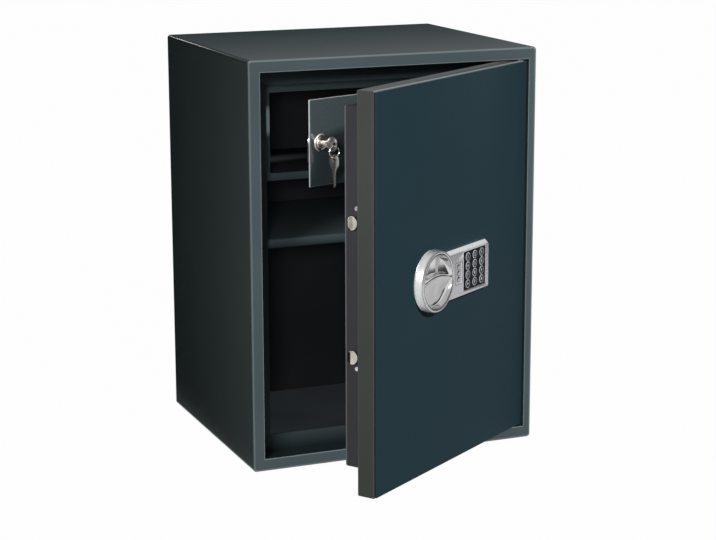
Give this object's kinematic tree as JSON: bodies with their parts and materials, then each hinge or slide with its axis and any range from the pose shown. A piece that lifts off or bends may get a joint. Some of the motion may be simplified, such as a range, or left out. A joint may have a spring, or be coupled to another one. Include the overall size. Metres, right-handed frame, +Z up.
{
  "type": "furniture safe",
  "caption": "Free-standing steel furniture safe with a hinged bolted door, turning knob and keypad, a shelf and a locked inner compartment.",
  "frame": {"origin": "centre of the cabinet's underside", "axes": "+Z up, -Y out of the front of the safe, +X towards the hinge side of the door"},
  "size_m": [0.45, 0.6087, 0.6],
  "materials": {
    "cabinet_paint": "fine textured powder coat",
    "rebate_paint": "fine textured powder coat",
    "door_paint": "smooth satin powder coat",
    "pan_paint": "satin powder coat",
    "inner_gloss": "gloss enamel",
    "bare_steel": "zinc plated, satin",
    "bright_plate": "nickel plated, bright",
    "satin_chrome": "satin chrome on zinc casting",
    "bush_brass": "turned",
    "black_plastic": "moulded, matt",
    "key_field": "printed membrane keys, satin",
    "window_gloss": "smoked, clear coat",
    "board_green": "solder resist",
    "cell_wrap": "printed wrap"
  },
  "bodies": {
    "cabinet": {"cabinet_shell": "cabinet_paint", "back_panel": "cabinet_paint", "door_rebate": "rebate_paint", "hinge_plates": "bare_steel", "compartment_floor": "rebate_paint", "compartment_frame": "rebate_paint", "inner_hinge_brackets": "bare_steel", "shelf": "rebate_paint", "shelf_rests": "bare_steel"},
    "door": {"door_front": "door_paint", "door_backplate": "pan_paint", "door_pan": "pan_paint", "hinge_blocks": "bare_steel", "hinge_pins": "bare_steel", "spindle_bush": "bush_brass", "bolt_guides": "bare_steel", "pan_screws": "bright_plate", "lock_magnet": "bare_steel", "circuit_board": "board_green", "keypad_lead": "black_plastic", "battery_holder": "black_plastic", "battery_cells": "cell_wrap", "battery_cover": "pan_paint", "lock_housing": "satin_chrome", "housing_screws": "bright_plate", "keypad_plate": "key_field", "indicator_window": "window_gloss"},
    "bolt_work": {"bolt_upper": "bright_plate", "bolt_lower": "bright_plate", "bolt_bar": "bare_steel", "bolt_screws": "bright_plate"},
    "turning_knob": {"knob": "satin_chrome", "spindle": "bare_steel", "drive_arm": "bare_steel"},
    "plunger": {"magnet_plunger": "bright_plate"},
    "key_1_cap": {"key_1": "key_field"},
    "key_2_cap": {"key_2": "key_field"},
    "key_3_cap": {"key_3": "key_field"},
    "key_4_cap": {"key_4": "key_field"},
    "key_5_cap": {"key_5": "key_field"},
    "key_6_cap": {"key_6": "key_field"},
    "key_7_cap": {"key_7": "key_field"},
    "key_8_cap": {"key_8": "key_field"},
    "key_9_cap": {"key_9": "key_field"},
    "key_star_cap": {"key_star": "key_field"},
    "key_0_cap": {"key_0": "key_field"},
    "key_hash_cap": {"key_hash": "key_field"},
    "inner_door_leaf": {"inner_door": "inner_gloss", "inner_hinge_pins": "bare_steel", "lock_barrel": "bright_plate", "barrel_nut": "bright_plate"},
    "inner_lock": {"lock_plug": "bright_plate", "lock_cam": "bright_plate", "key_inserted": "bright_plate"},
    "ring": {"key_ring": "bright_plate"},
    "spare": {"spare_key": "bright_plate"}
  },
  "joints": [
    {"name": "door_hinge", "type": "hinge", "parent": "cabinet", "child": "door", "pos_m": [0.2015, -0.1815, 0.3], "axis": [0, 0, 1], "range_deg": [-34.5, 65.5]},
    {"name": "knob_turn", "type": "hinge", "parent": "door", "child": "turning_knob", "pos_m": [-0.00564, -0.35238, 0.3], "axis": [0.5664, -0.8241, 0], "range_deg": [0, 60]},
    {"name": "bolt_slide", "type": "slide", "parent": "door", "child": "bolt_work", "axis": [-0.8241, -0.5664, 0], "range_m": [0, 0.018]},
    {"name": "plunger_slide", "type": "slide", "parent": "door", "child": "plunger", "axis": [0, 0, 1], "range_m": [0, 0.0055]},
    {"name": "key_1_press", "type": "slide", "parent": "door", "child": "key_1_cap", "axis": [-0.5664, 0.8241, 0], "range_m": [0, 0.0008], "stiffness_N_per_m": 300},
    {"name": "key_2_press", "type": "slide", "parent": "door", "child": "key_2_cap", "axis": [-0.5664, 0.8241, 0], "range_m": [0, 0.0008], "stiffness_N_per_m": 300},
    {"name": "key_3_press", "type": "slide", "parent": "door", "child": "key_3_cap", "axis": [-0.5664, 0.8241, 0], "range_m": [0, 0.0008], "stiffness_N_per_m": 300},
    {"name": "key_4_press", "type": "slide", "parent": "door", "child": "key_4_cap", "axis": [-0.5664, 0.8241, 0], "range_m": [0, 0.0008], "stiffness_N_per_m": 300},
    {"name": "key_5_press", "type": "slide", "parent": "door", "child": "key_5_cap", "axis": [-0.5664, 0.8241, 0], "range_m": [0, 0.0008], "stiffness_N_per_m": 300},
    {"name": "key_6_press", "type": "slide", "parent": "door", "child": "key_6_cap", "axis": [-0.5664, 0.8241, 0], "range_m": [0, 0.0008], "stiffness_N_per_m": 300},
    {"name": "key_7_press", "type": "slide", "parent": "door", "child": "key_7_cap", "axis": [-0.5664, 0.8241, 0], "range_m": [0, 0.0008], "stiffness_N_per_m": 300},
    {"name": "key_8_press", "type": "slide", "parent": "door", "child": "key_8_cap", "axis": [-0.5664, 0.8241, 0], "range_m": [0, 0.0008], "stiffness_N_per_m": 300},
    {"name": "key_9_press", "type": "slide", "parent": "door", "child": "key_9_cap", "axis": [-0.5664, 0.8241, 0], "range_m": [0, 0.0008], "stiffness_N_per_m": 300},
    {"name": "key_star_press", "type": "slide", "parent": "door", "child": "key_star_cap", "axis": [-0.5664, 0.8241, 0], "range_m": [0, 0.0008], "stiffness_N_per_m": 300},
    {"name": "key_0_press", "type": "slide", "parent": "door", "child": "key_0_cap", "axis": [-0.5664, 0.8241, 0], "range_m": [0, 0.0008], "stiffness_N_per_m": 300},
    {"name": "key_hash_press", "type": "slide", "parent": "door", "child": "key_hash_cap", "axis": [-0.5664, 0.8241, 0], "range_m": [0, 0.0008], "stiffness_N_per_m": 300},
    {"name": "inner_door_hinge", "type": "hinge", "parent": "cabinet", "child": "inner_door_leaf", "pos_m": [0.176, -0.066, 0.477], "axis": [0, 0, 1], "range_deg": [-20, 38]},
    {"name": "inner_lock_turn", "type": "hinge", "parent": "inner_door_leaf", "child": "inner_lock", "pos_m": [-0.11231, -0.18318, 0.47725], "axis": [-0.342, 0.9397, 0], "range_deg": [0, 90]},
    {"name": "ring_swing", "type": "hinge", "parent": "inner_lock", "child": "ring", "pos_m": [-0.10325, -0.20808, 0.47605], "axis": [-0.9397, -0.342, 0], "range_deg": [-15, 60]},
    {"name": "spare_swing", "type": "hinge", "parent": "ring", "child": "spare", "pos_m": [-0.10325, -0.20808, 0.45805], "axis": [-0.9397, -0.342, 0], "range_deg": [-10, 45]}
  ],
  "couplings": [
    {"joint": "bolt_slide", "follows": "knob_turn", "m_per_rad": 0.017189},
    {"joint": "inner_door_hinge", "follows": "door_hinge", "ratio": 0.57971}
  ]
}
